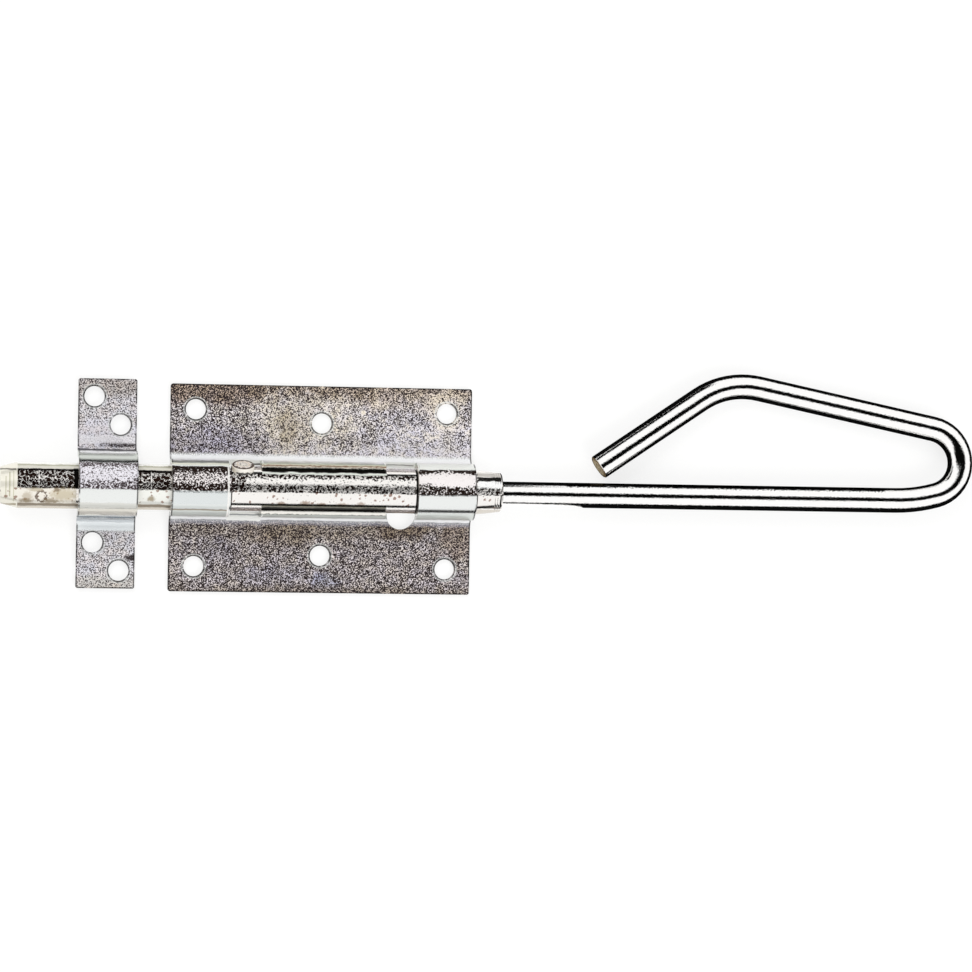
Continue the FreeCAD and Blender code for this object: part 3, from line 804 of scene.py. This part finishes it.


# Bright zinc on drawn rod: near mirror, with a painted dark band along it and a dull cut end
def drawnZinc(name, look):
    material, tree = newMaterial(name)
    place = objectMillimetres(tree)
    axes = addNode(tree, "ShaderNodeSeparateXYZ", {0: place}).outputs
    grain = grainNoise(tree, place, look["grainMm"], pattern["ragDetail"])
    rag = grainNoise(tree, place, look["ragMm"], pattern["ragDetail"])
    colour = addNode(tree, "ShaderNodeMix", {0: rag, 6: hexColour(look["bright"]),
                                             7: hexColour(look["warm"])}, data_type="RGBA").outputs[2]
    wander = addNode(tree, "ShaderNodeMath", {0: grain, 1: look["stripRagMm"], 2: axes["Y"]},
                     operation="MULTIPLY_ADD").outputs[0]
    low, high = look["stripsAboveMm"]
    upper = addNode(tree, "ShaderNodeMapRange", {0: axes["Z"], 1: low, 2: high}).outputs[0]
    wander = addNode(tree, "ShaderNodeMath", {0: wander, 1: upper}, operation="MULTIPLY").outputs[0]
    colour, metallic = layStrips(tree, colour, look["metallic"], axes["X"], wander, look["strips"])

    # the cut end: marks, a broken ring and a dark rim, by distance from the middle of the face
    radius, rough = look["endRadiusMm"], look["endRagMm"]
    off = addNode(tree, "ShaderNodeVectorMath", {0: place, 1: look["endMm"]}, operation="SUBTRACT").outputs[0]
    lift = addNode(tree, "ShaderNodeVectorMath", {0: off, 1: look["endNormal"]},
                   operation="DOT_PRODUCT").outputs["Value"]
    reach = addNode(tree, "ShaderNodeVectorMath", {0: off, 1: look["endNormal"]},
                    operation="CROSS_PRODUCT").outputs[0]
    reach = addNode(tree, "ShaderNodeVectorMath", {0: reach}, operation="LENGTH").outputs["Value"]
    marks = addNode(tree, "ShaderNodeMath", {0: grain, 1: rough, 2: reach},
                    operation="MULTIPLY_ADD").outputs[0]
    marks = addNode(tree, "ShaderNodeMapRange", {0: marks, 1: rough / 2, 2: radius + rough / 2}).outputs[0]
    sawn = addNode(tree, "ShaderNodeValToRGB", {0: marks}, look["endStops"]).outputs["Color"]
    near = addNode(tree, "ShaderNodeMath", {0: reach, 1: look["endReach"] * radius},
                   operation="LESS_THAN").outputs[0]
    face = addNode(tree, "ShaderNodeMath", {0: lift, 1: 0.0, 2: look["endDepthMm"]},
                   operation="COMPARE").outputs[0]
    face = addNode(tree, "ShaderNodeMath", {0: face, 1: near}, operation="MULTIPLY").outputs[0]
    colour = addNode(tree, "ShaderNodeMix", {0: face, 6: colour, 7: sawn}, data_type="RGBA").outputs[2]
    roughness = addNode(tree, "ShaderNodeMapRange", {0: face, 3: look["roughness"],
                                                     4: look["endRoughness"]}).outputs[0]
    metallic = addNode(tree, "ShaderNodeMix", {0: face, 2: metallic, 3: look["endMetallic"]},
                       data_type="FLOAT").outputs[0]
    bump = addNode(tree, "ShaderNodeBump", {"Height": grain, "Distance": mm(look["grainDepthMm"])}).outputs[0]
    return finishMetal(tree, material, colour, roughness, bump, metallic)


rodLook = {
    "grainMm": 0.7,
    "grainDepthMm": 0.05,
    "ragMm": 12.0,
    "bright": "#ffffff",
    "warm": "#fdfbf8",
    "roughness": 0.06,
    "metallic": 1.0,
    # a dark band painted along the upper half of the straight leg, wider where the leg faces the sawn end: a
    # painted reflection
    "stripRagMm": 2.0,
    "stripsAboveMm": (9.0, 9.4),
    "strips": (
        {"alongMm": (97.0, 118.0), "acrossMm": (3.7, 6.9), "softMm": 0.25, "colour": "#050404"},
        {"alongMm": (116.0, 227.0), "acrossMm": (3.8, 5.3), "softMm": 0.25, "colour": "#050404"},
    ),
    "endMm": (110.52, 10.60, 8.49),
    "endNormal": (-0.8271, -0.5596, 0.0533),
    "endRadiusMm": 4.6,
    "endReach": 1.2,
    "endDepthMm": 0.2,
    "endRagMm": 3.0,
    "endStops": hexStops((0.0, "#e2d3b4"), (0.30, "#cdb992"), (0.36, "#6b573c"), (0.42, "#dccbaa"),
                         (0.74, "#cfbb96"), (0.88, "#7d6646")),
    "endRoughness": 0.5,
    "endMetallic": 0.1,
}
# The stud is duller, dark at its sides from a painted shade, and pale at its flat end
studLook = dict(rodLook, **{
    "grainDepthMm": 0.15,
    "ragMm": 3.0,
    "bright": "#fbf8f2",
    "warm": "#f2eadc",
    "roughness": 0.25,
    "metallic": 0.2,
    "stripsAboveMm": (0.0, 0.4),
    "strips": (
        # the stud's dark sides: painted shade
        {"alongMm": (-37.0, -27.0), "acrossMm": (-4.0, 7.2), "softMm": 0.15, "colour": "#1c1614",
         "share": 0.92},
    ),
    "endMm": (-31.9, 9.46, 13.82),
    "endNormal": (0.0, 0.9095, 0.4157),
    "endRadiusMm": 4.1,
    "endStops": hexStops((0.0, "#fbf7f0"), (0.28, "#efe7dc"), (0.33, "#2c201a"), (0.40, "#fbf7f0"),
                         (0.60, "#ddcab6"), (0.74, "#fffaf4"), (0.86, "#4a382c")),
    "endRoughness": 0.4,
})


def dress(node, material):
    slots = nodes[node].material_slots
    for slot in slots:
        slot.material = material
    if not slots:
        nodes[node].data.materials.append(material)


dress("back_plate", pressedZinc("zincPlatedPressedSheet", plateLook))
dress("keeper", pressedZinc("zincPlatedBentStrap", keeperLook))
dress("bolt", turnedZinc("zincPlatedTurnedBar", boltLook))
dress("handle_rod", drawnZinc("brightZincDrawnRod", rodLook))
dress("lock_stud", drawnZinc("zincPlatedTurnedPin", studLook))
print("materials assigned")
